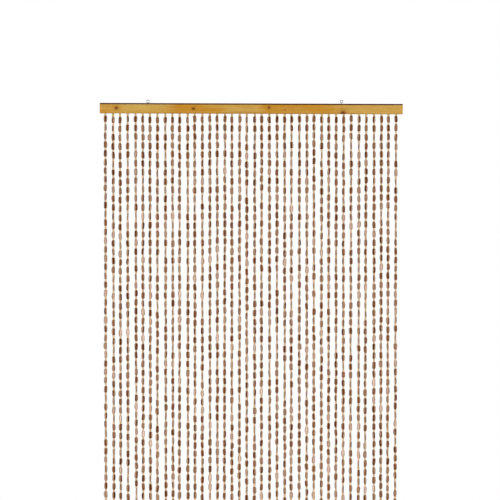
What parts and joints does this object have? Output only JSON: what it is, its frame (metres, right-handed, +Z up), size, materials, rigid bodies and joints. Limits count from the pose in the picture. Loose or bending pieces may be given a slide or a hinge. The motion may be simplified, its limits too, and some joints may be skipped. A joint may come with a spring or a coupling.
{
  "type": "bamboo bead door curtain with wooden rail",
  "caption": "Door curtain of threaded oval bamboo beads and short tubes in hanging strands under a flat wooden rail with a dark top strip and two screw eyes.",
  "frame": {"origin": "midway along the rail, on the line through the centres of the two screw eyes that the curtain hangs from", "axes": "+X along the rail to the viewer's right, +Y towards the wall, +Z up, so the front faces -Y"},
  "size_m": [0.9001, 0.012, 2.0188],
  "materials": {
    "rail_pine": "satin lacquer, straight grain with small knots",
    "cover_strip_dark": "dark stain, matt",
    "eye_steel": "plated wire",
    "bead_brown": "polished brown bamboo",
    "tube_pale": "pale raw bamboo",
    "thread_tan": "twisted thread"
  },
  "bodies": {
    "root": {"rail": "rail_pine", "cover_strip": "cover_strip_dark", "screw_eye_left": "eye_steel", "screw_eye_right": "eye_steel", "strands_left": "bead_brown", "strands_middle": "bead_brown", "strands_right": "bead_brown"}
  },
  "joints": []
}
